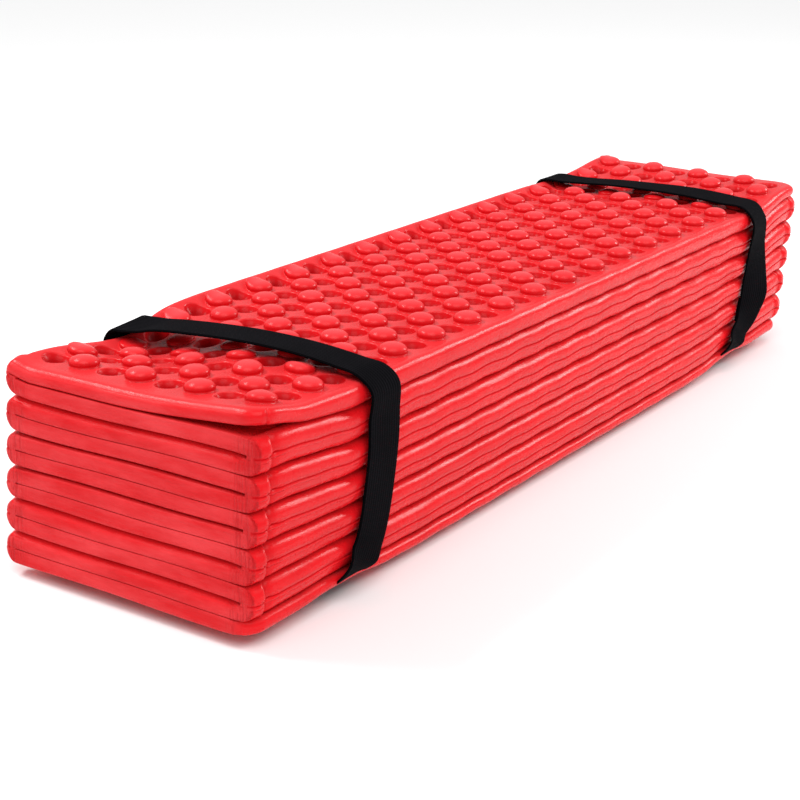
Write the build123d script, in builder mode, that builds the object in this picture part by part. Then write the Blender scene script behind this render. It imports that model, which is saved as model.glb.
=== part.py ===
"""Folding foam sleeping mat, packed: twelve egg-crate foam panels in a zigzag stack, held by two elastic straps.

Frame: X runs along the fold lines, Y across the panels, Z up. The origin is on the ground, under the
middle of the stack. The front is -Y, the left end is -X. Millimetres.
"""

from build123d import *
import os

os.makedirs("parts", exist_ok=True)

# the foam sheet
panel_count = 12
mat_length = 600.0  # along X, the width of the mat when it lies open
fold_pitch = 149.0  # from one fold line to the next
sheet = 8.0  # foam thickness between its domes
edge_gap = 0.15  # play between a panel's edge and its fold line
plan_radius = 6.0  # corners of a panel, seen from above
nose_radius = 6.4  # outer corner of a panel at a fold
free_radius = 3.4  # both corners of the two free edges

# the egg-crate pattern, which stands proud above the top panel and below the bottom one
dome_pitch = 17.0
dome_columns = 34
dome_rows = 8
dome_height = 5.5
field_radius = 4.0

# the stack
layer_pitch = 8.8  # from one panel of the stack to the next
lean = 0.5  # each panel lies this much further towards -Y than the one below it

# the thinned foam web that joins two panels along a fold line
web_radius = 0.7
web_gap = 0.2

# the elastic straps
strap_width = 25.0
strap_thickness = 1.4
strap_gap = 0.3  # between a strap and the foam
strap_centres = {"left": -216.0, "right": 222.0}
strap_slant = -0.13  # how far along X a strap wanders for each mm of Y
shoulder_inset = 3.6  # where the strap leaves the flat run, in from a panel's edge
shoulder_drop = 5.0  # where it meets the side of the stack, below the top panel's face
foot_rise = 3.5  # the same, above the bottom panel's face
strap_bend = 3.0
overlap_sides = {"left": 1, "right": -1}  # the sewn end lies on the back or on the front
overlap_height = 28.0
overlap_middle = 43.0

# stitches through the sewn end
stitch_length = 2.4
stitch_width = 0.6
stitch_height = 0.3
stitch_pitch = 3.2
stitch_gap = 0.02  # between the thread and the face of the webbing
stitches_per_row = 6
row_pitch = 17.0

panel_width = fold_pitch - 2 * edge_gap
gap_between = layer_pitch - sheet
ground_gap = 0.2  # between a strap's lowest face and the ground
groove_depth = ground_gap + strap_thickness + strap_gap


def panel_y(number):
    """Middle of a panel along Y, panel 1 being the bottom one."""
    return lean * ((panel_count + 1) / 2 - number)


def panel_z(number):
    """Lower face of a panel's sheet."""
    return dome_height + (number - 1) * layer_pitch


def fold_side(number):
    """+1 or -1: the side in Y where panel `number` folds to the panel above it."""
    return 1 if number % 2 else -1


def fold_point(number):
    """Y and Z of the fold line between panel `number` and the one above it."""
    middle = (panel_y(number) + panel_y(number + 1)) / 2
    return middle + fold_side(number) * fold_pitch / 2, panel_z(number + 1) - gap_between / 2


def folds_of(number):
    """The folds that a panel takes part in."""
    return [fold for fold in (number - 1, number) if 1 <= fold < panel_count]


def rounded_corners(number):
    """Corners of a panel's section that are rounded, as ((Y, Z), radius)."""
    bottom, top = panel_z(number), panel_z(number) + sheet
    edges = {side: panel_y(number) + side * panel_width / 2 for side in (-1, 1)}
    corners = []
    if number < panel_count:
        corners.append(((edges[fold_side(number)], bottom), nose_radius))
    if number > 1:
        corners.append(((edges[fold_side(number - 1)], top), nose_radius))
    if number in (1, panel_count):
        corners += [((edges[-1], level), free_radius) for level in (bottom, top)]
    return corners


def make_panel(number):
    """One panel: a slab of foam, rounded where it turns into a fold, with room for the webs."""
    y, z = panel_y(number), panel_z(number)
    with BuildPart() as panel:
        with BuildSketch(Plane.YZ) as section:
            with Locations((y, z + sheet / 2)):
                Rectangle(panel_width, sheet)
            for corner, radius in rounded_corners(number):
                fillet(section.vertices().sort_by_distance(corner)[0], radius)
        extrude(amount=mat_length / 2, both=True)
        with BuildSketch(Plane.XY.offset(z)):
            with Locations((0, y)):
                RectangleRounded(mat_length, panel_width, plan_radius)
        extrude(amount=sheet, mode=Mode.INTERSECT)
        with BuildSketch(Plane.YZ):
            with Locations([fold_point(fold) for fold in folds_of(number)]):
                Circle(web_radius + web_gap)
        extrude(amount=mat_length / 2, both=True, mode=Mode.SUBTRACT)
        if number == panel_count:
            extrude(dome_field(y, z + sheet), amount=dome_height)
        if number == 1:
            extrude(dome_field(y, 0), amount=dome_height)
            # the straps press the lowest domes flat, which leaves a shallow channel for each
            for centre in strap_centres.values():
                extrude(strap_band(centre, strap_gap), amount=groove_depth, mode=Mode.SUBTRACT)
    return panel


def dome_field(y, z):
    """The space that the domes take on a face of the foam, as one raised block."""
    with BuildSketch(Plane.XY.offset(z)) as field:
        with Locations((0, y)):
            RectangleRounded(dome_columns * dome_pitch, dome_rows * dome_pitch, field_radius)
    return field.sketch


def strap_band(centre, margin=0.0):
    """Plan view of a strap: a slanting band across the stack."""
    half, reach = strap_width / 2 + margin, fold_pitch
    with BuildSketch() as band:
        Polygon(
            (centre - strap_slant * reach - half, -reach),
            (centre - strap_slant * reach + half, -reach),
            (centre + strap_slant * reach + half, reach),
            (centre + strap_slant * reach - half, reach),
            align=None,
        )
    return band.sketch


def side_y(side, z):
    """Inner face of a strap beside the stack, at height z, following the stack's lean."""
    lowest = 1 if side > 0 else 2
    tip, level = fold_point(lowest)
    return tip + side * (web_radius + strap_gap) - (z - level) * lean / layer_pitch


def strap_corners():
    """Inner outline of a strap round the stack, as Y and Z of its corners."""
    low = ground_gap + strap_thickness
    high = panel_z(panel_count) + sheet + dome_height + strap_gap
    foot = dome_height + foot_rise
    shoulder = panel_z(panel_count) + sheet - shoulder_drop
    reach = panel_width / 2 - shoulder_inset
    bottom, top = panel_y(1), panel_y(panel_count)
    return [
        (bottom - reach, low),
        (bottom + reach, low),
        (side_y(1, foot), foot),
        (side_y(1, shoulder), shoulder),
        (top + reach, high),
        (top - reach, high),
        (side_y(-1, shoulder), shoulder),
        (side_y(-1, foot), foot),
    ]


def wrap_outline(grow):
    """Section of the stack as a strap wraps it, grown outwards by some layers of webbing."""
    with BuildSketch(Plane.YZ) as outline:
        Polygon(*strap_corners(), align=None)
        fillet(outline.vertices(), strap_bend)
        if grow:
            offset(amount=grow, mode=Mode.REPLACE)
    return outline.sketch


def make_webbing(name):
    """A closed loop of webbing, with its sewn end lying on itself on one side of the stack."""
    centre, side = strap_centres[name], overlap_sides[name]
    half = mat_length / 2
    with BuildSketch(Plane.XY.offset(overlap_middle - overlap_height / 2)) as sewn_area:
        with Locations((0, side * fold_pitch / 2)):
            Rectangle(mat_length, fold_pitch / 2)
    with BuildPart() as sewn_end:
        extrude(wrap_outline(2 * strap_thickness), amount=half, both=True)
        extrude(wrap_outline(strap_thickness), amount=half, both=True, mode=Mode.SUBTRACT)
        extrude(sewn_area.sketch, amount=overlap_height, mode=Mode.INTERSECT)
    with BuildPart() as webbing:
        extrude(wrap_outline(strap_thickness), amount=half, both=True)
        extrude(wrap_outline(0), amount=half, both=True, mode=Mode.SUBTRACT)
        add(sewn_end.part)
        extrude(strap_band(centre), amount=2 * fold_pitch, mode=Mode.INTERSECT)
    return webbing


def make_stitching(name):
    """The rows of thread that hold the sewn end, as short raised stitches."""
    centre, side = strap_centres[name], overlap_sides[name]
    y = side_y(side, overlap_middle) + side * (2 * strap_thickness + stitch_gap)
    face = Plane(
        origin=(centre + strap_slant * y, y, overlap_middle),
        x_dir=(1, 0, 0),
        z_dir=(0, side * layer_pitch, side * lean),
    )
    with BuildPart() as stitching:
        with BuildSketch(face):
            with GridLocations(stitch_pitch, row_pitch, stitches_per_row, 2):
                SlotOverall(stitch_length, stitch_width)
        extrude(amount=stitch_height)
    return stitching


for number in range(1, panel_count + 1):
    name = f"panel_{number:02d}"
    panel = make_panel(number)
    panel.part.label = name
    export_step(panel.part, f"parts/{name}.step")

for number in range(1, panel_count):
    name = f"fold_web_{number:02d}"
    with BuildPart() as web:
        with BuildSketch(Plane.YZ):
            with Locations(fold_point(number)):
                Circle(web_radius)
        extrude(amount=mat_length / 2 - plan_radius, both=True)
    web.part.label = name
    export_step(web.part, f"parts/{name}.step")

for side_name in strap_centres:
    webbing = make_webbing(side_name)
    webbing.part.label = f"strap_{side_name}_webbing"
    export_step(webbing.part, f"parts/strap_{side_name}_webbing.step")
    stitching = make_stitching(side_name)
    stitching.part.label = f"strap_{side_name}_stitching"
    export_step(stitching.part, f"parts/strap_{side_name}_stitching.step")
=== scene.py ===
"""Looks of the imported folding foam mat, built around its CAD frame.

Metres, in the row's frame: X along the folds, Y across the panels, Z up. Lengths written in
millimetres are multiplied by MM. Panel 1 is the bottom one; the front is -Y, the near end -X.
"""
import math
import bpy
import numpy as np
from mathutils import Matrix, Vector


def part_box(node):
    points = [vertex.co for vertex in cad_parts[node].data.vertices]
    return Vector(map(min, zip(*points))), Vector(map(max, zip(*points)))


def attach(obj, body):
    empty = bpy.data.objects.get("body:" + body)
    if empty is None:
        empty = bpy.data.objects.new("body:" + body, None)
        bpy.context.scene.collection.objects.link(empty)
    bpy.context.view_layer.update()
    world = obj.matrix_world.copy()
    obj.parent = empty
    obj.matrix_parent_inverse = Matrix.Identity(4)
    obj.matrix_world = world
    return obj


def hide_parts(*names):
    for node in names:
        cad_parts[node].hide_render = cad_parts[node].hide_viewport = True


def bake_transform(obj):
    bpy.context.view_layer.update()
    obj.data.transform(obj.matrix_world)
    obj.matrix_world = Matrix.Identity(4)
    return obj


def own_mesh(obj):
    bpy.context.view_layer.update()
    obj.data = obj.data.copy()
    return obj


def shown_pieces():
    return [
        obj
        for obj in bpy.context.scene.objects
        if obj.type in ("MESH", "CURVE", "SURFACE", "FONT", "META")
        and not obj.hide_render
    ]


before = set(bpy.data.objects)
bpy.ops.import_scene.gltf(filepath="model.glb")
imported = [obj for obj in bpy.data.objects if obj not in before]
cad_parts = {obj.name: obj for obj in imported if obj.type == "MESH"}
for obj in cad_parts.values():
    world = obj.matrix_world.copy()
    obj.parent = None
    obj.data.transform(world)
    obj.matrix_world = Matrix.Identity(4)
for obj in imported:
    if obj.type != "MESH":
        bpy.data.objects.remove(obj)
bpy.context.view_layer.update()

MM = 0.001
PANELS = 12

# the panels as the frame has them
low_2, high_2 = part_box("panel_02")
low_11, high_11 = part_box("panel_11")
LAYER = (low_11.z - low_2.z) / (11 - 2)
SHEET = high_2.z - low_2.z
HALF_LENGTH = (high_2.x - low_2.x) / 2
HALF_WIDTH = (high_2.y - low_2.y) / 2
TOP_FACE = high_11.z + LAYER
BOTTOM_FACE = low_2.z - LAYER

# the egg-crate field
COLUMNS, ROWS = 34, 8
PITCH = 17 * MM
FIELD = (COLUMNS * PITCH / 2, ROWS * PITCH / 2)
FOAM = SHEET - 0.3 * MM  # thickness of the foam, a little under the CAD slab's

# the rings of points round a panel: some across its border, then the rim's, whose depths below the top
# face are shares of the foam's thickness, closer together where the edge is round
BORDER_RINGS = 2
RIM_LEVELS = [0.0, 0.015, 0.06, 0.13, 0.23, 0.36, 0.5, 0.64, 0.77, 0.87, 0.94, 0.985, 1.0]
RIM_ROWS = 2 * BORDER_RINGS + len(RIM_LEVELS)
CORNER_STEPS = 15  # stations round each corner


def smooth(value, start, end):
    """0 before start, 1 after end, eased between."""
    t = np.clip((value - start) / (end - start), 0, 1)
    return t * t * (3 - 2 * t)


def bump(value, centre, width):
    """A bell of height 1 round centre."""
    return np.exp(-(((value - centre) / width) ** 2))


def new_mesh(name, points, faces, flat_caps=0):
    """A mesh with smooth shading, except on that many of its last faces."""
    mesh = bpy.data.meshes.new(name)
    mesh.from_pydata(np.asarray(points).tolist(), [], faces)
    is_smooth = np.ones(len(faces), bool)
    is_smooth[len(faces) - flat_caps:] = False
    mesh.polygons.foreach_set("use_smooth", is_smooth)
    mesh.update()
    return mesh


def add_object(name, data):
    """A new object in the scene."""
    made = bpy.data.objects.new(name, data)
    bpy.context.scene.collection.objects.link(made)
    return made


# ---------------------------------------------------------------- the shape of the foam

def panel_middle(number):
    """Middle of a panel in Y and Z, at rest."""
    low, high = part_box(f"panel_{number:02d}")
    return (low.y + high.y) / 2, BOTTOM_FACE + (number - 1) * LAYER + SHEET / 2


def dome_profile(radius, height, rings):
    """Radii and heights of a dome's rings, from near its tip to its foot, where it is drawn in a little."""
    turn = np.linspace(0, math.radians(112), rings + 1)[1:]
    girth = 1.3 * MM
    rise = girth + (height - girth) * np.cos(turn)
    rise[-1] = -0.35 * MM
    return radius * np.sin(turn) ** 0.95, rise


def plain_profile(radius, height, rings, power):
    """Radii and heights of a simple round dome or hollow."""
    shares = np.sin(np.linspace(0, math.pi / 2, rings + 1)[1:])
    return radius * shares, height * (1 - shares**2) ** power


class Plan:
    """Vertices and faces that every panel shares, seen from above: polar cells, border and rim."""

    def __init__(self, segments, rings):
        self.segments, self.rings = segments, rings
        self.steps = segments // 4
        self.lattice = {}  # numbers of the vertices on the cells' edges, by column and row
        for i in range(COLUMNS * self.steps + 1):
            for j in range(ROWS * self.steps + 1):
                if i % self.steps == 0 or j % self.steps == 0:
                    self.lattice[i, j] = len(self.lattice)
        self.per_cell = 1 + (rings + 1) * segments
        self.field_size = len(self.lattice) + COLUMNS * ROWS * self.per_cell
        self.stations = self.make_stations()
        self.loops = self.make_faces()

    def edge_points(self, column, row):
        """Lattice numbers round one cell, anticlockwise from its lowest corner."""
        m, i, j = self.steps, column * self.steps, row * self.steps
        ring = [(i + a, j) for a in range(m)] + [(i + m, j + a) for a in range(m)]
        ring += [(i + m - a, j + m) for a in range(m)] + [(i, j + m - a) for a in range(m)]
        return [self.lattice[point] for point in ring]

    def make_stations(self):
        """The rim's stations, anticlockwise: the field's vertex, and the way out from it."""
        m = self.steps
        last_i, last_j = COLUMNS * m, ROWS * m
        loop = [(i, 0) for i in range(last_i)] + [(last_i, j) for j in range(last_j)]
        loop += [(last_i - i, last_j) for i in range(last_i)] + [(0, last_j - j) for j in range(last_j)]
        stations = []
        for i, j in loop:
            sx = -1 if i == 0 else 1 if i == last_i else 0
            sy = -1 if j == 0 else 1 if j == last_j else 0
            turns = [0.0]
            if sx and sy:  # a corner: fan out through a quarter turn
                turns = np.linspace(-math.pi / 4, math.pi / 4, CORNER_STEPS)
            for turn in turns:
                angle = math.atan2(sy, sx) + turn
                stations.append((self.lattice[i, j], (math.cos(angle), math.sin(angle))))
        return stations

    def make_faces(self):
        """All faces, as lists of vertex numbers: top field, rim, bottom field."""
        faces, n = [], self.segments
        for column in range(COLUMNS):
            for row in range(ROWS):
                base = len(self.lattice) + (column * ROWS + row) * self.per_cell
                rings = [[base + 1 + ring * n + k for k in range(n)] for ring in range(self.rings + 1)]
                rings.append(self.edge_points(column, row))
                for k in range(n):
                    following = (k + 1) % n
                    faces.append((base, rings[0][k], rings[0][following]))
                    for inner, outer in zip(rings, rings[1:]):
                        faces.append((inner[k], outer[k], outer[following], inner[following]))
        bottom = [tuple(vertex + self.field_size for vertex in reversed(face)) for face in faces]
        chains = [self.rim_chain(k) for k in range(len(self.stations))]
        for chain, beside in zip(chains, chains[1:] + chains[:1]):
            for a, b, c, d in zip(chain, chain[1:], beside[1:], beside):
                faces.append((a, b, c) if a == d else (a, b, c, d) if b != c else (a, b, d))
        return faces + bottom

    def rim_chain(self, k):
        """Numbers of the vertices down the rim at one station, from the top field to the bottom one."""
        start = self.stations[k][0]
        rim = [2 * self.field_size + row * len(self.stations) + k for row in range(RIM_ROWS)]
        return [start] + rim + [start + self.field_size]

    def field(self, exposed, face_sign):
        """Plan places and heights of one face's field. face_sign is +1 on top, -1 underneath."""
        if exposed:
            peaks = (5.2 * MM, 4.6 * MM)
            dome = dome_profile(7.3 * MM, peaks[0], self.rings)
            hollow = plain_profile(7.1 * MM, peaks[1], self.rings, 0.7)
        else:
            peaks = (5.0 * MM, 5.0 * MM)
            dome = plain_profile(7.3 * MM, peaks[0], self.rings, 0.6)
            hollow = plain_profile(7.8 * MM, peaks[1], self.rings, 0.6)
        profiles = (dome, hollow)
        edge = np.array([(i / self.steps, j / self.steps) for i, j in self.lattice], float)
        places = [edge * PITCH - np.array(FIELD)]
        heights = [np.zeros(len(edge))]
        angles = math.radians(225) + np.arange(self.segments) * math.tau / self.segments
        for column in range(COLUMNS):
            for row in range(ROWS):
                raised = (column + row) % 2 == 0
                kind = 0 if raised == (face_sign > 0) else 1
                radii, rise = profiles[kind]
                x, y = (column + 0.5) * PITCH - FIELD[0], (row + 0.5) * PITCH - FIELD[1]
                reach = np.append(radii, radii[-1] + (0.7 if exposed else 0.2) * (PITCH / 2 - radii[-1]))
                ring_x = x + reach[:, None] * np.cos(angles)
                ring_y = y + reach[:, None] * np.sin(angles)
                places.append(np.vstack([[[x, y]], np.stack([ring_x.ravel(), ring_y.ravel()], 1)]))
                level = np.append(peaks[kind], np.repeat(np.append(rise, 0.0), self.segments))
                heights.append(level * (1 if raised else -1))
        return np.vstack(places), np.concatenate(heights)


def is_free(number, side):
    """True where a panel's long edge is an end of the sheet, and not a fold."""
    return side < 0 and number in (1, PANELS)


def side_radii(number, side):
    """Radii of a panel's long edge, at its top and its bottom. side is -1 at the front, +1 at the back."""
    tight, nose, free = 0.9 * MM, 6.3 * MM, 3.7 * MM
    if is_free(number, side):
        return free, free
    fold_above = (1 if number % 2 else -1) == side
    return (tight, nose) if fold_above else (nose, tight)


def end_radii(number, y):
    """Radii of a panel's end edges at places along Y.

    They are round where two panels part and square where they are pressed together. At the front, where a
    fold joins them, the round ones close up to the nose.
    """
    if number % 2:
        above, below = 0.6, 1.6
    else:
        # panels 6 and 8 part least from the ones above them
        above, below = (1.8 if number in (6, 8) else 4.6), (2.2 if number == PANELS else 0.6)
    closed = 1 - smooth(y, -HALF_WIDTH + 3 * MM, -HALF_WIDTH + 15 * MM)
    if is_free(number, -1):
        closed = 0 * y
    above, below = np.full(len(y), above * MM), np.full(len(y), below * MM)
    if number % 2:
        return above, below + (0.25 * MM - below) * closed
    return above + (0.25 * MM - above) * closed, below


def swell(number):
    """How much thicker a panel is along its rim, at its top and its bottom, where it meets its neighbour."""
    pressed = 0.45 * MM
    return (pressed if number % 2 else 0.0, 0.0 if number % 2 else pressed)


def inset(radii, level):
    """How far an edge with these radii at top and bottom stands in, at a share of the foam's depth."""
    total = 0.0
    for radius, depth in zip(radii, (level * FOAM, (1 - level) * FOAM)):
        inside = np.maximum(radius - depth, 0)
        total = total + radius - np.sqrt(np.maximum(radius**2 - inside**2, 0))
    return total


def fold_relief(x, off_hinge, back):
    """How far a fold stands out near an end of the mat: a lip, a pinch, then a dimple on the fold line.

    off_hinge is the height off the fold line. back is true at the back of the stack.
    """
    from_end, near = HALF_LENGTH - np.abs(x), x < 0
    lip = (0.9 + 1.0 * back) * MM * bump(from_end, 4.8 * MM, 2.4 * MM)
    pinch = (0.6 + 1.8 * near) * MM * bump(from_end, 9.2 * MM, 1.5 * MM)
    dimple = (0.4 + 1.4 * near) * MM * bump(from_end, 13.0 * MM, 2.6 * MM) * bump(off_hinge, 0, 2.2 * MM)
    return lip - pinch - dimple


def reach_outline(base, way, half_x, half_y, corner):
    """How far each point of base is, along its way, from a rectangle with round corners."""
    near, far = np.zeros(len(base)), np.full(len(base), 30 * MM)
    half = np.column_stack([half_x, half_y]) - corner[:, None]
    for _ in range(40):
        middle = (near + far) / 2
        beyond = np.abs(base + way * middle[:, None]) - half
        outside = np.hypot(*np.maximum(beyond, 0).T) + np.minimum(beyond.max(axis=1), 0) > corner
        far = np.where(outside, middle, far)
        near = np.where(outside, near, middle)
    return near


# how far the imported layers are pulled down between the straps, at the front: (height, depth), in mm
PULL = [(0, 0), (13.9, 2.2), (31.5, 3.4), (49.1, 4.6), (66.7, 5.8), (84.3, 6.4), (101.9, 6.0), (110.3, 3.0)]


def share_of_back(y):
    """0 at the front of the stack, 1 towards its back."""
    return smooth(y, -HALF_WIDTH, 60 * MM)


def strap_pull(x, y, z, height):
    """Rise of the layers under the straps' pull: down between and under them, fanned out at the ends."""
    heights, depths = np.array(PULL).T * MM
    back, between = share_of_back(y), smooth(HALF_LENGTH - np.abs(x), 15 * MM, 75 * MM)
    pull = np.interp(z, heights, depths) * between * (1 - 0.4 * back)
    left, right = bump(x, -228 * MM, 30 * MM), bump(x, 220 * MM, 34 * MM)  # under each strap
    near, far = smooth(-x, 200 * MM, 290 * MM), smooth(x, 232 * MM, 290 * MM)  # at each end
    crown = bump(y, -15 * MM, 38 * MM)  # the middle of the top, where a strap presses less
    top = (2.5 - 0.4 * back) * far - (0.4 + 6.0 * back - 5.0 * crown) * left
    top = top - (1.2 - 2.4 * crown) * right - (1.2 + 2.0 * back) * near
    low = 1.0 * near + 3.4 * left + 5.0 * right + 3.0 * far
    return (low + (top - low) * height) * MM - pull


def corner_curl(x, y):
    """Rise of the top panel's near corner, on its free edge."""
    across = np.clip((15 * MM - y) / (92 * MM), 0, 1)
    return 5.2 * MM * smooth(-x, 264 * MM, HALF_LENGTH) * across**2


def back_bulge(x, y, height):
    """Rise of the top fold, which bulges above the domes along the back and sags between the ends."""
    near, far = smooth(-x, 200 * MM, 290 * MM), smooth(x, 232 * MM, 290 * MM)
    bulge = 5.0 * MM * smooth(y, 56 * MM, 69 * MM) * (1 - 0.35 * far - 0.4 * near)
    sag = 1.4 * MM * share_of_back(y) * smooth(HALF_LENGTH - np.abs(x), 10 * MM, 50 * MM)
    return (bulge - sag) * height**6


def end_waver(x, y, z):
    """A little unevenness of the pressed ends."""
    at_end = 1 - smooth(HALF_LENGTH - np.abs(x), 5 * MM, 50 * MM)
    return 0.3 * MM * at_end * np.sin(y / (17 * MM) + z / (9 * MM))


def dome_wave(x, y, depth):
    """The long edges rise and fall over the domes behind them."""
    edge = np.exp(-(HALF_WIDTH - np.abs(y)) / (7 * MM)) * smooth(HALF_LENGTH - np.abs(x), 20 * MM, 60 * MM)
    phase = np.where(y < 0, 0.5, 1.5) * PITCH - FIELD[0]
    return depth * edge * np.cos(math.pi * (x - phase) / PITCH)


def settle(points, number):
    """Move a piece's points from the plain stack to the way that the strapped stack sits."""
    x, y, z = points[:, 0], points[:, 1], points[:, 2]
    height = np.clip((z - BOTTOM_FACE) / (TOP_FACE - BOTTOM_FACE), 0, 1)
    rise = strap_pull(x, y, z, height) + back_bulge(x, y, height) + end_waver(x, y, z)
    rise = rise + dome_wave(x, y, (0.15 if number == PANELS else 0.35) * MM)
    if number == PANELS:
        rise = rise + corner_curl(x, y)
    # the left strap draws the top of the back in
    tight = bump(x, -221 * MM, 18 * MM) * smooth(y, 40 * MM, HALF_WIDTH)
    return np.column_stack([x, y - 5.0 * MM * tight * height**4, z + rise])


def store(mesh, name, values):
    """Keep one number at each vertex, for the materials to read."""
    mesh.attributes.new(name, "FLOAT", "POINT").data.foreach_set("value", np.asarray(values, np.float32))


def make_panel(number, plan, template):
    """One panel of egg-crate foam, as a closed mesh."""
    y_middle, z_middle = panel_middle(number)
    half = FOAM / 2
    top_plan, top_rise = plan.field(number == PANELS, 1)
    low_plan, low_rise = plan.field(number == 1, -1)
    if number == PANELS:
        top_rise = press_domes(top_plan, top_rise, "top", 0.55)
    if number == 1:
        low_rise = press_domes(low_plan, low_rise, "under", 0.1)
    top = np.column_stack([top_plan, half + top_rise])
    low = np.column_stack([low_plan, -half + low_rise])
    points = np.vstack([top, low] + rim_rows(number, plan, top_plan))
    points[:, 1] += y_middle
    points[:, 2] += z_middle
    points = settle(points, number)
    name = f"foam_panel_{number:02d}"
    mesh = template.copy()
    mesh.name = name
    mesh.vertices.foreach_set("co", points.astype(np.float32).ravel())
    relief = np.concatenate([top_rise, -low_rise, np.zeros(RIM_ROWS * len(plan.stations))])
    store(mesh, "relief", relief / (5 * MM))
    store(mesh, "face", np.concatenate([np.ones(len(top) + len(low)), rim_share(plan)]))
    side, cut = np.abs(points[:, 1] - y_middle), cut_share(points)
    store(mesh, "fold", smooth(side, HALF_WIDTH - 6 * MM, HALF_WIDTH - 2 * MM))
    store(mesh, "cut", cut)
    store(mesh, "crinkle", cut * smooth(side, HALF_WIDTH - 17 * MM, HALF_WIDTH - 8 * MM) * (number < PANELS))
    mesh.update()
    return add_object(name, mesh)


def cut_share(points):
    """1 on the cut ends of the mat, 0 away from them."""
    return smooth(np.abs(points[:, 0]), HALF_LENGTH - 1.2 * MM, HALF_LENGTH - 0.3 * MM)


def rim_share(plan):
    """How much each ring of the border and rim belongs to a panel's faces: 1 there, 0 down its edge."""
    border = np.ones(BORDER_RINGS)
    rim = 1 - smooth(0.5 - np.abs(0.5 - np.array(RIM_LEVELS)), 0.0, 0.2)
    return np.repeat(np.concatenate([border, rim, border]), len(plan.stations))


def press_domes(places, rise, run, left_over):
    """An outer face's domes are pressed down where a strap crosses them, to a share of their height."""
    outward = 1 if run == "top" else -1
    for shape in STRAPS.values():
        ways, middles = zip(*sorted((knot[0], knot[2]) for knot in shape[run]))
        off = np.abs(places[:, 0] - np.interp(places[:, 1], np.array(ways) * MM, np.array(middles) * MM))
        under = 1 - smooth(off, 11 * MM, 19 * MM)  # fades out beyond the strap's edges
        rise = np.where(rise * outward > 0, rise * (1 - (1 - left_over) * under), rise)
    return rise


def rim_rows(number, plan, places):
    """Rings of points round a panel's border and rim, from its top face to its bottom face."""
    base = np.array([places[vertex] for vertex, _ in plan.stations])
    way = np.array([out for _, out in plan.stations])
    front = base[:, 1] < 0
    sides = {side: side_radii(number, side) for side in (-1, 1)}
    side_top = np.where(front, sides[-1][0], sides[1][0])
    side_low = np.where(front, sides[-1][1], sides[1][1])
    free = np.where(front, is_free(number, -1), is_free(number, 1))
    ends = end_radii(number, base[:, 1] + way[:, 1] * (HALF_WIDTH - FIELD[1]))
    corner = np.where(free, 11 * MM, 3.0 * MM)
    x = base[:, 0] + way[:, 0] * (HALF_LENGTH - FIELD[0])
    at_fold = smooth(np.abs(way[:, 1]), 0.3, 0.6) * ~free
    # which face of the panel the fold line lies on: 0 for the top, 1 for the bottom
    hinge = np.where(front == (number % 2 == 0), 0.0, 1.0)
    notch = 0.0 * x
    if number == PANELS:  # a notch in the curled corner
        notch = 1.3 * MM * bump(np.arctan2(way[:, 1], way[:, 0]), math.radians(-135), math.radians(7))
    swell_top, swell_low = swell(number)
    rings = []
    for level in RIM_LEVELS:
        half_x = HALF_LENGTH - inset(ends, level)
        half_y = HALF_WIDTH - inset((side_top, side_low), level)
        reach = reach_outline(base, way, half_x, half_y, corner)
        relief = at_fold * fold_relief(x, (level - hinge) * FOAM, ~front) - notch
        place = base + way * (reach + relief * smooth(reach, 0, 4 * MM))[:, None]
        height = FOAM * (0.5 - level) + swell_top * (1 - level) - swell_low * level
        rings.append(np.column_stack([place, np.full(len(place), height)]))
    rows = []
    for ring, level in ((rings[0], FOAM / 2), (rings[-1], -FOAM / 2)):
        start = np.column_stack([base, np.full(len(base), level)])
        shares = [(k + 1) / (BORDER_RINGS + 1) for k in range(BORDER_RINGS)]
        rows.append([start + (ring - start) * share for share in shares])
    return rows[0] + rings + rows[1][::-1]


def template_mesh(plan):
    """The mesh that panels of one plan are copied from: faces only, no places yet."""
    count = 2 * plan.field_size + RIM_ROWS * len(plan.stations)
    return new_mesh("panel_template", np.zeros((count, 3)), plan.loops)


SKIN_CREASE = -0.5  # depth of the crease along the middle of a fold's skin, in mm
SKIN_INSIDE = -2  # the skin's points deeper than this lie between the panels, in mm
SKIN_CORNER = 3 * MM  # radius of its corners at the ends of the mat, seen from above


def skin_section(from_end):
    """Section of a fold's skin, as depths and heights in mm from the fold line, going round."""
    outer = [(-0.6, -2.3), (-0.15, -1.4), (-0.1, -0.6), (SKIN_CREASE, -0.15)]
    plug = 1 - float(smooth(from_end, 3 * MM, 9 * MM))  # it fills the slit at the ends of the mat
    inner = [(-1.2, 2.0), (-1.5, 0.45 + 0.5 * plug), (-3.8 - 3.4 * plug, 0.25 + 0.55 * plug)]
    outer += [(depth, -rise) for depth, rise in reversed(outer)]
    inner += [(depth, -rise) for depth, rise in reversed(inner)]
    return outer + inner


def skin_places():
    """Where a fold's skin has its sections along X: every 2.5 mm or so, and closer near the ends."""
    near_end = [0.05, 0.3, 0.8, 1.5, 2.3, 3.2, 4.2, 5.2, 6.2, 7.2, 8, 8.8, 9.6, 10.4, 11.3, 12.3, 13.3, 14.5,
                16, 18, 20]
    ends = HALF_LENGTH - np.array(near_end) * MM
    return np.concatenate([-ends, np.linspace(-ends[-1], ends[-1], 220)[1:-1], ends[::-1]])


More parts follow.
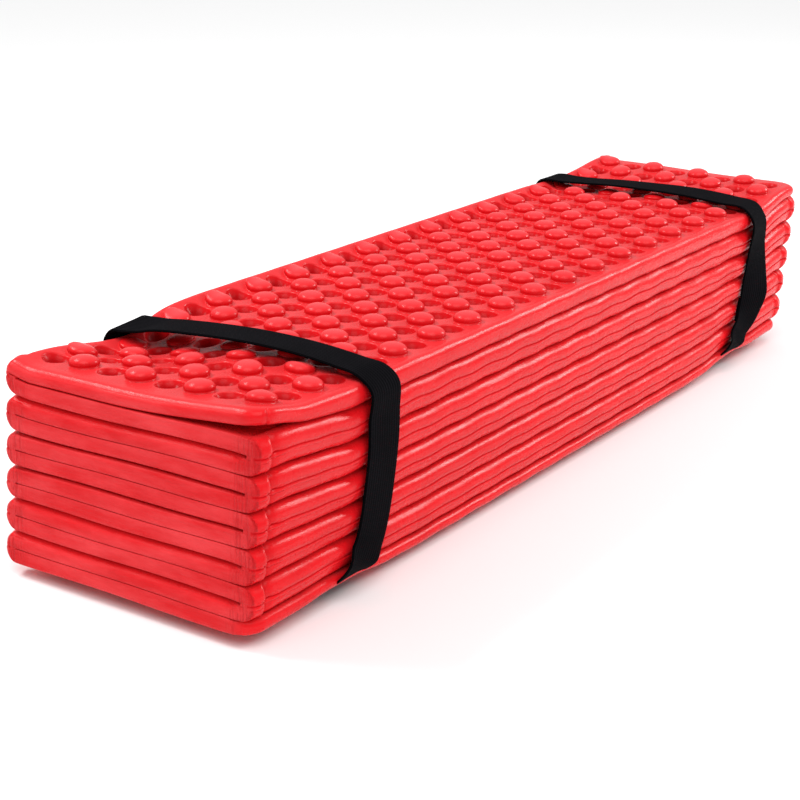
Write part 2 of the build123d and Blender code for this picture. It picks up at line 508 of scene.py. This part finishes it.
def make_fold_skin(number):
    """The thin web of foam at a fold, as a strip over the joint between two noses."""
    low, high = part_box(f"fold_web_{number:02d}")
    side = 1 if number % 2 else -1
    y, z = (low.y + high.y) / 2, (low.z + high.z) / 2
    places = skin_places()
    steps = len(places)
    points = []
    for x in places:
        from_end = HALF_LENGTH - abs(x)
        turned = SKIN_CORNER - math.sqrt(SKIN_CORNER**2 - max(SKIN_CORNER - from_end, 0) ** 2)
        section = skin_section(from_end)
        for depth, rise in section:
            stand = fold_relief(x, rise * MM, side > 0) - turned if depth > SKIN_INSIDE else 0.0
            points.append((x, y + side * (depth * MM + stand), z + rise * MM))
    points = np.array(points)
    n = len(section)
    faces = []
    for k in range(steps - 1):
        for a in range(n):
            b = (a + 1) % n
            quad = (k * n + a, k * n + b, (k + 1) * n + b, (k + 1) * n + a)
            faces.append(quad if side < 0 else quad[::-1])
    first, last = tuple(range(n)), tuple((steps - 1) * n + a for a in range(n))
    faces += [first[::-1], last] if side < 0 else [first, last[::-1]]
    points = settle(points, number)
    cut = cut_share(points)
    mesh = new_mesh(f"fold_skin_{number:02d}", points, faces, flat_caps=2)
    store(mesh, "cut", cut)
    store(mesh, "crinkle", cut)
    store(mesh, "fold", 1 - cut)
    store(mesh, "crease", np.tile([depth == SKIN_CREASE for depth, _ in section], steps))
    return add_object(mesh.name, mesh), Vector((0, y, z))


# ---------------------------------------------------------------- the straps

STRAP_WIDTH = 25 * MM
STRAP_THICKNESS = 1.3 * MM
STRAP_STEP = 1.6  # from one section of a strap to the next, in mm
RIBS = 13
RIB_HEIGHT = 0.16 * MM

# the sewn end, a third of the way up the front or the back of the stack
LAP_MIDDLE, LAP_REACH = 38.5 * MM, 10.5 * MM
STITCH_ROWS = (31.5 * MM, 45.5 * MM)
STITCHES, STITCH_PITCH = 7, 3.2 * MM

# Each strap's middle line, in mm and degrees: (Y, Z, X, roll) over the top and (Y, Z, X) underneath, where
# it lies flat. The front and back runs lie against the folds, so they are given by (Z, X, roll) alone. A
# positive roll lifts the strap's +X edge off the foam.
STRAPS = {
    "left": {
        "top": [(71.4, 98.0, -221.8, 1), (70.0, 104.0, -221.6, 2), (66.6, 108.2, -221.4, 4),
                (60, 109.0, -221, 4), (50, 110.0, -220.6, 2), (40, 111.8, -220.3, -1),
                (10, 114.3, -219.0, -2), (-14, 115.0, -217.4, -3), (-40, 114.0, -215.5, -4),
                (-62, 111.3, -213.6, -4), (-73, 109.2, -212.6, -3)],
        "front": [(102, -210.6, -3), (88, -209.4, 0), (73, -208.2, 0), (52, -209.4, 0), (34, -212, 0),
                  (24, -215.5, 0), (17, -219.5, 0)],
        "under": [(-71.8, 12.0, -222.5), (-68, 9.0, -223.8), (-60, 7.8, -224.8), (0, 7.2, -226),
                  (50, 7.4, -226.5), (65, 8.0, -226.5), (73.5, 11, -226.5)],
        "back": [(18, -226, 0), (40, -225, 0), (66, -223.5, 0), (84, -222.3, 0)],
        "sewn": 1,  # at the back
    },
    "right": {
        "top": [(72.5, 107.0, 213.1, 0), (69.6, 111.0, 213.3, 0), (64, 112.1, 213.8, 0),
                (54, 111.8, 214.5, -1), (40, 112.2, 215.8, -2), (20, 113.3, 217.6, -2), (0, 113.6, 219.5, -1),
                (-30, 113.4, 222.3, 1), (-58, 111.2, 225, 1), (-73, 109.3, 226.3, -2)],
        "front": [(101, 227.2, -5), (82, 230.5, 1), (64, 230.2, 12), (50, 228.3, 20), (36, 226.5, 12),
                  (26, 221, 2), (19, 217.5, 0)],
        "under": [(-71.8, 14.0, 215), (-68, 10.8, 214), (-60, 9.8, 213.2), (0, 9.4, 212.5), (50, 9.6, 212.5),
                  (65, 10.2, 212.5), (73.5, 13, 212.5)],
        "back": [(18, 212.5, 0), (40, 212.5, 0), (70, 212.5, 0), (101, 212.9, 0)],
        "sewn": -1,  # at the front
    },
}


def beside_stack(side, z):
    """Y of a strap's middle line where it runs up the front or the back of the stack, in mm."""
    return side * (76.6 if side < 0 else 78.6) - 0.057 * (z - 50 if side < 0 else z - 14)


def strap_knots(name):
    """A strap's middle line as (X, Y, Z, roll), anticlockwise seen from +X, in mm."""
    shape = STRAPS[name]
    knots = [(x, y, z, roll) for y, z, x, roll in shape["top"]]
    for z, x, roll in shape["front"]:
        # where the strap is twisted, it stands off by the dip of its lower edge
        stand_off = max(0.0, STRAP_WIDTH / (2 * MM) * math.sin(math.radians(abs(roll))) - 1.0)
        knots.append((x, beside_stack(-1, z) - stand_off, z, roll))
    knots += [(x, y, z, 0) for y, z, x in shape["under"]]
    knots += [(x, beside_stack(1, z), z, roll) for z, x, roll in shape["back"]]
    return np.array(knots, float)


def root_chord(start, end):
    """Square root of the distance between two knots."""
    return np.linalg.norm((end - start)[:3]) ** 0.5


def slope_at(before, knot, after):
    """Slope at one knot of a centripetal spline."""
    first, second = root_chord(before, knot), root_chord(knot, after)
    return (knot - before) / first - (after - before) / (first + second) + (after - knot) / second


def round_loop(knots, spacing):
    """Even points along a closed curve through the knots."""
    count, curve = len(knots), []
    t = np.linspace(0, 1, 24, endpoint=False)[:, None]
    for k in range(count):
        before, start, end, after = (knots[(k + step) % count] for step in (-1, 0, 1, 2))
        root = root_chord(start, end)
        leave, arrive = slope_at(before, start, end) * root, slope_at(start, end, after) * root
        curve.append((2 * t**3 - 3 * t**2 + 1) * start + (t**3 - 2 * t**2 + t) * leave
                     + (3 * t**2 - 2 * t**3) * end + (t**3 - t**2) * arrive)
    curve = np.vstack(curve)
    closed = np.vstack([curve, curve[:1]])
    length = np.append(0, np.cumsum(np.linalg.norm(np.diff(closed[:, :3], axis=0), axis=1)))
    places = np.linspace(0, length[-1], int(length[-1] / spacing) + 1)[:-1]
    return np.column_stack([np.interp(places, length, closed[:, axis]) for axis in range(4)])


def strap_frames(name):
    """Places along a strap's middle line, with the ways across it and out of it, in metres."""
    line = round_loop(strap_knots(name), STRAP_STEP)
    middle, roll = line[:, :3] * MM, np.radians(line[:, 3])
    along = np.roll(middle, -1, axis=0) - np.roll(middle, 1, axis=0)
    out = np.column_stack([np.zeros(len(along)), -along[:, 2], along[:, 1]])
    out /= -np.linalg.norm(out, axis=1)[:, None]
    flat = np.column_stack([np.ones(len(along)), np.zeros(len(along)), np.zeros(len(along))])
    across = flat * np.cos(roll)[:, None] + out * np.sin(roll)[:, None]
    along /= np.linalg.norm(along, axis=1)[:, None]
    across -= along * np.sum(across * along, axis=1)[:, None]
    across /= np.linalg.norm(across, axis=1)[:, None]
    return middle, across, np.cross(across, along)


def webbing_section():
    """Section of the webbing, as (across, out): half-round ribs on the outer face, and a plain inner face."""
    steps = 6 * RIBS
    u = np.linspace(-0.5, 0.5, steps + 1)
    rib = RIB_HEIGHT * np.abs(np.sin(math.pi * u * RIBS)) ** 0.7
    edge = np.minimum(1, (0.5 - np.abs(u)) * 40)
    half = STRAP_THICKNESS / 2 * (0.35 + 0.65 * np.sqrt(edge))
    outer = np.column_stack([u * STRAP_WIDTH, half - RIB_HEIGHT + rib])
    inner = np.column_stack([u * STRAP_WIDTH, -half])[::-1][::3]
    return np.vstack([outer, inner])


def sweep(frames, section, closed):
    """A section carried along some frames, as points and faces."""
    middle, across, out = frames
    points = middle[:, None] + section[None, :, 0:1] * across[:, None] + section[None, :, 1:2] * out[:, None]
    rows, n = len(middle), len(section)
    faces = []
    for k in range(rows if closed else rows - 1):
        following = (k + 1) % rows
        for a in range(n):
            b = (a + 1) % n
            faces.append((k * n + a, following * n + a, following * n + b, k * n + b))
    if not closed:
        faces += [tuple(range(n)), tuple((rows - 1) * n + a for a in reversed(range(n)))]
    return points.reshape(-1, 3), faces


def make_strap(name):
    """An elastic strap: a closed ribbed loop, with its sewn end lying on it, and the thread through it."""
    frames = strap_frames(name)
    elastic = make_elastic(name, frames)
    thread = make_thread(name, frames)
    for piece, label, slot in ((elastic, "webbing", "webbing"), (thread, "stitching", "thread")):
        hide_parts(f"strap_{name}_{label}")
        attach(piece, f"strap_{name}")
        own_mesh(piece)


def renumber(faces, first):
    """The same faces, for vertices that are numbered from first on."""
    return [tuple(vertex + first for vertex in face) for face in faces]


def make_elastic(name, frames):
    """The loop of webbing and its lap, as one mesh."""
    section = webbing_section()
    loop, faces = sweep(frames, section, closed=True)
    lap, lap_faces = sweep(lap_frames(name, frames), section * (0.985, 1.0), closed=False)
    points = np.vstack([loop, lap])
    mesh = new_mesh(f"strap_{name}_elastic", points, faces + renumber(lap_faces, len(loop)))
    rows = len(points) // len(section)
    store(mesh, "along", np.repeat(np.arange(rows) * STRAP_STEP, len(section)))
    store(mesh, "across", np.tile(section[:, 0] / MM, rows))
    return add_object(mesh.name, mesh)


def make_thread(name, frames):
    """All stitches of a strap, as one mesh."""
    points, faces = [], []
    for height in STITCH_ROWS:
        for column in range(STITCHES):
            stitch, stitch_faces = make_stitch(name, frames, height, (column - STITCHES // 2) * STITCH_PITCH)
            faces += renumber(stitch_faces, len(points))
            points += stitch
    mesh = new_mesh(f"strap_{name}_thread", points, faces)
    return add_object(mesh.name, mesh)


def on_sewn_side(name, middle):
    """True for the places that are on the side of the stack where the strap is sewn."""
    return middle[:, 1] * STRAPS[name]["sewn"] > 60 * MM


def lap_frames(name, frames):
    """The part of a strap's frames under its sewn end, raised by one thickness."""
    middle, across, out = frames
    chosen = on_sewn_side(name, middle) & (np.abs(middle[:, 2] - LAP_MIDDLE) < LAP_REACH)
    raised = middle[chosen] + out[chosen] * (STRAP_THICKNESS - 0.05 * MM)
    return raised, across[chosen], out[chosen]


def make_stitch(name, frames, height, offset):
    """One short stitch: a little rounded bar across the sewn end."""
    middle, across, out = frames
    off = np.where(on_sewn_side(name, middle), np.abs(middle[:, 2] - height), np.inf)
    k = int(np.argmin(off))
    along = np.cross(out[k], across[k])
    surface = middle[k] + out[k] * (1.5 * STRAP_THICKNESS + 0.02 * MM) + across[k] * offset
    rings, sides = 7, 6
    points = []
    for ring in range(rings):
        share = 2 * ring / (rings - 1) - 1
        radius = 0.32 * MM * max(0.35, math.sqrt(max(0.0, 1 - share**2)))
        centre = surface + across[k] * share * 1.15 * MM
        for turn in range(sides):
            angle = math.tau * turn / sides
            points.append(centre + radius * (math.cos(angle) * out[k] + math.sin(angle) * along))
    faces = []
    for ring in range(rings - 1):
        for a in range(sides):
            b = (a + 1) % sides
            faces.append((ring * sides + a, ring * sides + b, (ring + 1) * sides + b, (ring + 1) * sides + a))
    faces += [tuple(reversed(range(sides))), tuple((rings - 1) * sides + a for a in range(sides))]
    return points, faces


# ---------------------------------------------------------------- the pieces

def place_panels():
    """The twelve panels. The top one, whose domes are in plain view, has a finer mesh."""
    fine, plain = Plan(16, 7), Plan(16, 4)
    fine_mesh, plain_mesh = template_mesh(fine), template_mesh(plain)
    for number in range(1, PANELS + 1):
        plan, mesh = (fine, fine_mesh) if number == PANELS else (plain, plain_mesh)
        panel = make_panel(number, plan, mesh)
        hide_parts(f"panel_{number:02d}")
        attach(panel, f"panel_{number:02d}")


def place_fold_skins():
    """The skin of each fold, baked in place where the stack sits at rest."""
    for number in range(1, PANELS):
        skin, hinge = make_fold_skin(number)
        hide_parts(f"fold_web_{number:02d}")
        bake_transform(skin)


place_panels()
place_fold_skins()
for strap_name in STRAPS:
    make_strap(strap_name)


# ---------------------------------------------------------------- materials

class Material:
    """A node material under construction, with short ways to add and join nodes."""

    def __init__(self, name):
        self.data = bpy.data.materials.new(name)
        self.data.use_nodes = True
        self.tree = self.data.node_tree
        self.shader = self.tree.nodes["Principled BSDF"]

    def add(self, kind, **values):
        """A new node, with its settings."""
        node = self.tree.nodes.new(kind)
        for key, value in values.items():
            setattr(node, key, value)
        return node

    def join(self, value, socket):
        """Link another node's output to a socket, or set the socket to a plain value."""
        if isinstance(value, bpy.types.NodeSocket):
            self.tree.links.new(value, socket)
        else:
            socket.default_value = value

    def attribute(self, name):
        """A number stored at each vertex."""
        return self.add("ShaderNodeAttribute", attribute_name=name).outputs["Fac"]

    def math(self, operation, *values):
        """The result of an operation on sockets or plain values."""
        node = self.add("ShaderNodeMath", operation=operation)
        for value, socket in zip(values, node.inputs):
            self.join(value, socket)
        return node.outputs[0]

    def place(self, stretch=(1, 1, 1)):
        """Places on the object, in metres, stretched along each axis."""
        node = self.add("ShaderNodeMapping")
        self.tree.links.new(self.add("ShaderNodeTexCoord").outputs["Object"], node.inputs["Vector"])
        node.inputs["Scale"].default_value = stretch
        return node.outputs[0]

    def noise(self, scale, detail=3.0, stretch=(1, 1, 1), roughness=0.5):
        """Soft noise over the object, from about 0.3 to 0.7."""
        node = self.add("ShaderNodeTexNoise")
        self.join(self.place(stretch), node.inputs["Vector"])
        node.inputs["Scale"].default_value = scale
        node.inputs["Detail"].default_value = detail
        node.inputs["Roughness"].default_value = roughness
        return node.outputs["Fac"]

    def ramp(self, value, low, high, start=0.0, end=1.0):
        """The value stretched from low..high to start..end, and held there outside."""
        node = self.add("ShaderNodeMapRange")
        for setting, socket in zip((value, low, high, start, end), node.inputs):
            self.join(setting, socket)
        return node.outputs[0]

    def mix(self, share, first, second):
        """The first colour, with a share of the second over it."""
        node = self.add("ShaderNodeMix", data_type="RGBA")
        for value, socket in zip((share, first, second), (node.inputs[0], node.inputs[6], node.inputs[7])):
            self.join(value, socket)
        return node.outputs[2]

    def bump(self, height, distance, strength=1.0, normal=None):
        """The surface's normal as a height tilts it. distance is in metres."""
        node = self.add("ShaderNodeBump")
        node.inputs["Strength"].default_value = strength
        node.inputs["Distance"].default_value = distance
        self.join(height, node.inputs["Height"])
        if normal:
            self.join(normal, node.inputs["Normal"])
        return node.outputs[0]


RED = (0.80, 0.009, 0.014, 1)
DEEP_RED = (0.50, 0.003, 0.006, 1)
# painted shade, for the domes' flanks and the hollows
SHADE_RED = (0.36, 0.002, 0.004, 1)
# a painted sheen, for the flat faces between the domes
SHEEN_SALMON = (0.72, 0.035, 0.04, 1)
# painted highlights, for the domes' tops and for pale patches on the cut ends
HIGHLIGHT_PINK = (0.84, 0.060, 0.068, 1)
BLACK, CHARCOAL = (0.0005, 0.0005, 0.001, 1), (0.009, 0.008, 0.011, 1)
KNIT_PITCH = 1.1  # from one row of the elastic's loops to the next, in mm


def dome_colour(m, relief, face, hollow):
    """The moulded skin, with light painted in: paler with a painted sheen between the domes, painted
    highlights on their tops, and painted shade on their flanks and in the hollows.
    """
    level = m.ramp(m.math("ABSOLUTE", relief), 0.0, 0.12)
    between = m.math("MULTIPLY", m.math("SUBTRACT", 1.0, level), face)
    # painted sheen: the flat faces between the domes made paler, as a reflection of the bright room would
    # make them
    colour = m.mix(m.math("MULTIPLY", between, 0.8), RED, SHEEN_SALMON)
    # painted shade on the lower flanks of the domes and in the hollows
    flank = m.math("MULTIPLY", m.ramp(relief, 0.04, 0.16), m.ramp(relief, 0.3, 0.7, 0.4, 0.0))
    colour = m.mix(m.math("MAXIMUM", hollow, flank), colour, SHADE_RED)
    # painted highlights on the domes' tops
    colour = m.mix(m.ramp(relief, 0.45, 1.0, 0.0, 0.9), colour, HIGHLIGHT_PINK)
    return m.mix(m.ramp(m.noise(38.0, 2.0), 0.35, 0.75, 0.0, 0.30), colour, DEEP_RED)


def end_colour(m, colour, fold, cut, wrinkles):
    """The cut ends: deeper in colour, with pale pink patches of painted highlight at random places, painted
    shade in the wrinkles and a dark outline.
    """
    # pale pink patches at random places on the cut ends, painted highlights
    highlight_patches = m.math("MULTIPLY", m.ramp(m.noise(30.0, 4.0, (1, 0.6, 2.5), 0.6), 0.40, 0.65, 0.0, 0.60), cut)
    colour = m.mix(m.math("MULTIPLY", cut, 0.45), colour, DEEP_RED)
    colour = m.mix(highlight_patches, colour, HIGHLIGHT_PINK)
    outline = m.math("MULTIPLY", m.math("MULTIPLY", cut, m.math("SUBTRACT", 1.0, cut)), fold)
    # the dark lines along the wrinkles are painted shade
    return m.mix(m.math("MAXIMUM", wrinkles, m.ramp(outline, 0.0, 0.25, 0.0, 0.7)), colour, DEEP_RED)


def foam_bumps(m, fold, cut, wrinkles):
    """Fine cells all over, creases along the folds, and drag lines and wrinkles on the cut ends."""
    normal = m.bump(m.noise(1500.0, 2.0), 0.00006, 0.8)
    normal = m.bump(m.noise(260.0, 3.0), 0.00022, 0.5, normal)
    creases = m.math("MULTIPLY", m.noise(28.0, 2.0, (0.35, 1, 6), 0.5), fold)
    normal = m.bump(creases, 0.002, 0.30, normal)
    drag = m.math("MULTIPLY", m.noise(45.0, 6.0, (1, 0.5, 9), 0.7), cut)
    normal = m.bump(drag, 0.0012, 0.5, normal)
    return m.bump(wrinkles, 0.0018, 0.7, normal)


def foam_material():
    """Satin closed-cell foam, matter on the cut ends and dull in the hollows and creases, where its colour
    also has painted shade.
    """
    m = Material("red_foam")
    marks = ("relief", "face", "fold", "cut", "crinkle", "crease")
    relief, face, fold, cut, crinkle, crease = (m.attribute(name) for name in marks)
    hollow = m.ramp(relief, -0.04, -0.6)
    wrinkle = m.noise(75.0, 3.0, (1, 12, 1.5), 0.6)
    # dark lines along the wrinkles of the cut ends near the folds, painted shade
    lines = m.math("MULTIPLY", m.ramp(wrinkle, 0.40, 0.52, 0.65, 0.0), crinkle)
    colour = end_colour(m, dome_colour(m, relief, face, hollow), fold, cut, lines)
    # painted shade along the middle crease of each fold's skin
    colour = m.mix(m.math("MULTIPLY", crease, 0.6), colour, DEEP_RED)
    m.join(colour, m.shader.inputs["Base Color"])
    rough = m.ramp(m.noise(120.0, 4.0), 0.3, 0.7, 0.22, 0.32)
    m.join(m.math("ADD", rough, m.math("MULTIPLY", cut, 0.22)), m.shader.inputs["Roughness"])
    dull = m.math("MAXIMUM", crease, m.math("MULTIPLY", hollow, 0.75))
    m.join(m.ramp(dull, 0.0, 1.0, 0.16, 0.0), m.shader.inputs["Specular IOR Level"])
    m.join(foam_bumps(m, fold, cut, m.math("MULTIPLY", wrinkle, crinkle)), m.shader.inputs["Normal"])
    return m.data


def webbing_material():
    """Black knitted elastic: rows of fine loops across its lengthwise ribs, a little fluff on top."""
    m = Material("black_elastic")
    along, across = m.attribute("along"), m.attribute("across")  # in mm
    turn = m.math("MULTIPLY", along, math.tau / KNIT_PITCH)
    shifted = m.math("ADD", turn, m.math("MULTIPLY", across, 3.3))
    knit = m.math("MULTIPLY", m.math("ADD", m.math("SINE", turn), m.math("SINE", shifted)), 0.5)
    fluff = m.noise(900.0, 4.0)
    rib = m.math("SINE", m.math("MULTIPLY", across, math.tau * RIBS * MM / STRAP_WIDTH))
    # painted shade and highlight: lighter on the tops of the ribs, black in the grooves between them, varied
    # at random
    shade = m.math("MULTIPLY", m.ramp(rib, -0.2, 1.0), m.ramp(m.noise(60.0, 3.0), 0.3, 0.7, 0.6, 1.0))
    m.join(m.mix(shade, BLACK, CHARCOAL), m.shader.inputs["Base Color"])
    m.shader.inputs["Roughness"].default_value = 0.82
    m.shader.inputs["Specular IOR Level"].default_value = 0.03
    normal = m.bump(knit, 0.00012, 0.6)
    m.join(m.bump(fluff, 0.0001, 0.5, normal), m.shader.inputs["Normal"])
    return m.data


def thread_material():
    """Black sewing thread, a little smoother than the webbing, with its twist."""
    m = Material("black_thread")
    twist = m.noise(1800.0, 2.0, (2, 1, 1))
    m.join(m.mix(twist, (0.010, 0.010, 0.012, 1), (0.035, 0.035, 0.04, 1)), m.shader.inputs["Base Color"])
    m.shader.inputs["Roughness"].default_value = 0.55
    m.join(m.bump(twist, 0.00015, 0.8), m.shader.inputs["Normal"])
    return m.data


def dress_pieces():
    """Give every piece its material."""
    foam, webbing, thread = foam_material(), webbing_material(), thread_material()
    finishes = {"foam_": foam, "fold_skin": foam, "strap_": webbing}
    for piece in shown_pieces():
        for start, finish in finishes.items():
            if piece.name.startswith(start):
                piece.data.materials.clear()
                piece.data.materials.append(thread if piece.name.endswith("_thread") else finish)


dress_pieces()


# ---------------------------------------------------------------- camera, light and floor

CAMERA_PLACE = (-0.8569, -0.5054, 0.3591)
CAMERA_TURN = (57.13, 18.78, 1.42)  # degrees: from +Y towards +X, down, and anticlockwise seen from behind
CAMERA_LENS, CAMERA_SENSOR = 80.46, 36  # mm


def make_camera():
    """The camera at the photograph's viewing angle."""
    yaw, pitch, roll = np.radians(CAMERA_TURN)
    ahead = Vector((math.cos(pitch) * math.sin(yaw), math.cos(pitch) * math.cos(yaw), -math.sin(pitch)))
    right = ahead.cross(Vector((0, 0, 1))).normalized()
    up = right.cross(ahead)
    tilted_right = math.cos(roll) * right + math.sin(roll) * up
    tilted_up = -math.sin(roll) * right + math.cos(roll) * up
    data = bpy.data.cameras.new("camera")
    data.lens, data.sensor_width = CAMERA_LENS, CAMERA_SENSOR
    camera = add_object("camera", data)
    turn = Matrix((tilted_right, tilted_up, -ahead)).transposed().to_4x4()
    camera.matrix_world = Matrix.Translation(CAMERA_PLACE) @ turn
    bpy.context.scene.camera = camera


def make_floor():
    """A plain pale floor that reaches beyond the camera's view."""
    reach = 40
    corners = [(-reach, -reach, 0), (reach, -reach, 0), (reach, reach, 0), (-reach, reach, 0)]
    mesh = new_mesh("floor", corners, [(0, 1, 2, 3)], flat_caps=1)
    floor = add_object("floor", mesh)
    paper = Material("pale_floor")
    paper.shader.inputs["Base Color"].default_value = (0.94, 0.94, 0.94, 1)
    paper.shader.inputs["Roughness"].default_value = 0.9
    mesh.materials.append(paper.data)


def add_softbox(name, size, power, place, target):
    """A rectangle of light at a place, turned to its target."""
    data = bpy.data.lights.new(name, "AREA")
    data.shape, data.size, data.size_y, data.energy = "RECTANGLE", size[0], size[1], power
    light = add_object(name, data)
    light.location = place
    light.rotation_euler = (Vector(target) - Vector(place)).to_track_quat("-Z", "Y").to_euler()


def add_sun(strength, toward, spread):
    """A very soft, even light from far off, toward being the way to it."""
    data = bpy.data.lights.new("even", "SUN")
    data.energy, data.angle = strength, math.radians(spread)
    light = add_object("even", data)
    light.rotation_euler = Vector(toward).to_track_quat("Z", "Y").to_euler()


def make_light():
    """A white room with an even light from above the camera and three softboxes: far, front and back."""
    world = bpy.data.worlds.new("studio")
    world.use_nodes = True
    background = world.node_tree.nodes["Background"]
    background.inputs["Color"].default_value = (1, 1, 1, 1)
    background.inputs["Strength"].default_value = 0.50
    bpy.context.scene.world = world
    add_sun(1.75, (-0.38, -0.30, 0.86), 50)
    add_softbox("far", (0.3, 0.5), 9.5, (1.3, -0.75, 0.80), (0.1, 0, 0.05))
    add_softbox("front", (0.6, 0.4), 1.2, (0.5, -1.3, 1.1), (0.1, 0, 0.05))
    add_softbox("back", (0.6, 0.25), 9, (-0.45, 0.75, 1.1), (-0.3, 0, 0.05))
    bpy.context.scene.view_settings.view_transform = "Standard"


make_camera()
make_floor()
make_light()
